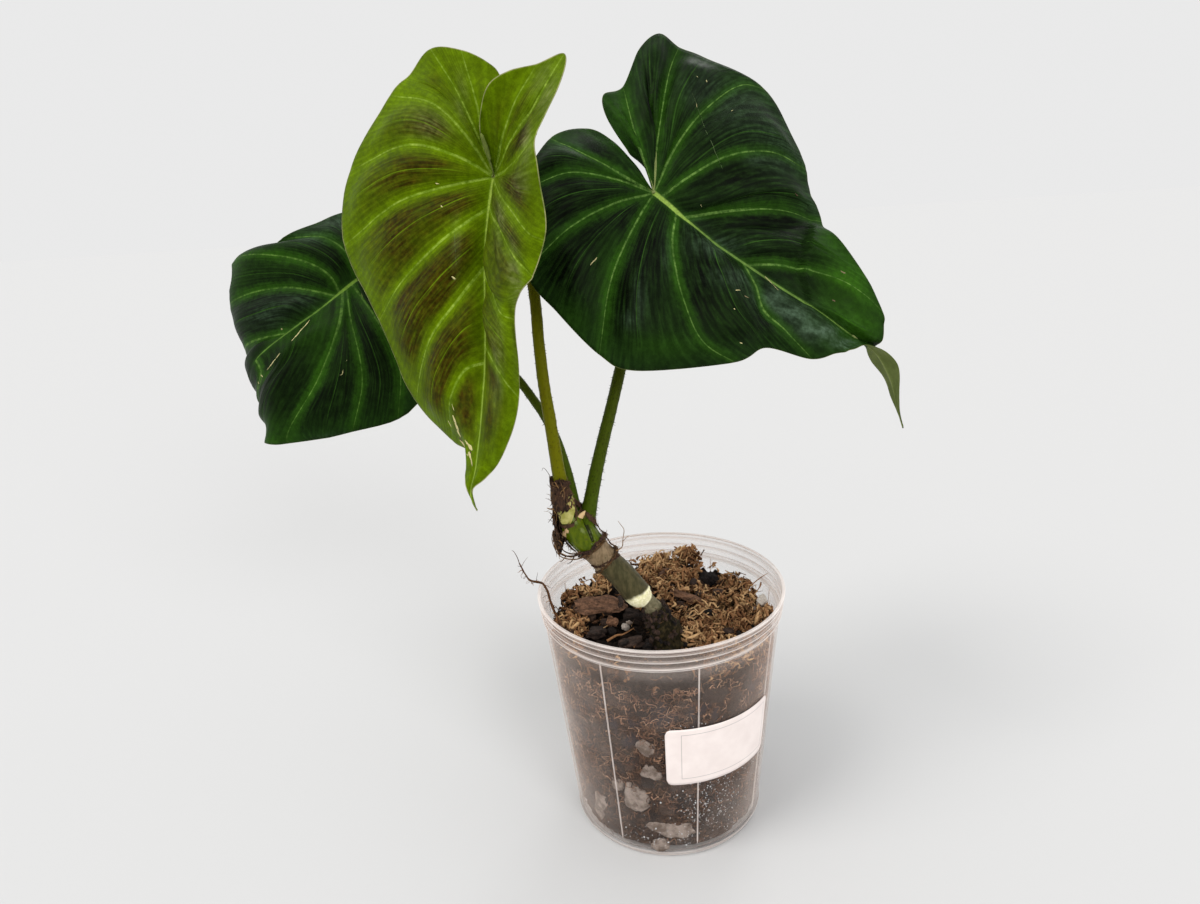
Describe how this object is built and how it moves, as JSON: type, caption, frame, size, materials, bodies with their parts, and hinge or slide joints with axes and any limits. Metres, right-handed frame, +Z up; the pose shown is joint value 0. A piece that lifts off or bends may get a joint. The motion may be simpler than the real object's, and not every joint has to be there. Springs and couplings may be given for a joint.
{
  "type": "potted philodendron",
  "caption": "Velvet-leaf philodendron with heart-shaped blades on long petioles, leaning from a ringed stem in a clear nursery pot of bark mix.",
  "frame": {"origin": "middle of the pot's foot, on the surface it stands on", "axes": "+Z up along the pot's axis; -Y towards the front, the side with the label; +X to the right"},
  "size_m": [0.3237, 0.1538, 0.3731],
  "materials": {
    "pot_clear": "thin clear plastic, slightly frosted",
    "label": "plain white label, left blank",
    "potting_mix": "coarse bark, moss and pumice",
    "stem": "grey-green living cane with node rings",
    "dried_sheath": "dry, brown and fibrous",
    "petiole_light": "olive-green living stalk with small bristles",
    "petiole_dark": "dark green living stalk with small bristles",
    "leaf_light": "lime-green young velvet leaf, brown-olive between the veins",
    "leaf_dark": "near-black green velvet leaf with green veins",
    "root": "thin dry brown root"
  },
  "bodies": {
    "root": {"pot": "pot_clear", "label": "label", "potting_mix": "potting_mix", "stem": "stem", "dried_sheath": "dried_sheath", "petiole_front": "petiole_light", "petiole_left": "petiole_dark", "petiole_right": "petiole_dark", "leaf_front": "leaf_light", "leaf_left": "leaf_dark", "leaf_right": "leaf_dark", "root_over_rim": "root"}
  },
  "joints": []
}
